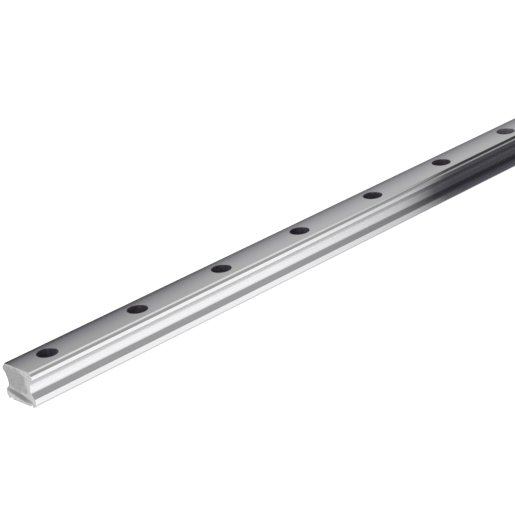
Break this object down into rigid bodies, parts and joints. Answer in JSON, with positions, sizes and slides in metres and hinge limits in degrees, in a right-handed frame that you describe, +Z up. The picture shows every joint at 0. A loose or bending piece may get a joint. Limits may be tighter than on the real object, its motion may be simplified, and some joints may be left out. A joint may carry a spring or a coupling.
{
  "type": "linear guide rail",
  "caption": "Straight ground steel linear guide rail with ball tracks along both sides and a row of counterbored screw holes.",
  "frame": {"origin": "middle of the mounting face", "axes": "+X along the rail, +Y across it, +Z up, out of the counterbores"},
  "size_m": [0.46, 0.023, 0.0195],
  "materials": {
    "ground_steel": "ground along its length, bright, with a matt cut-off end"
  },
  "bodies": {
    "root": {"guide_rail": "ground_steel"}
  },
  "joints": []
}
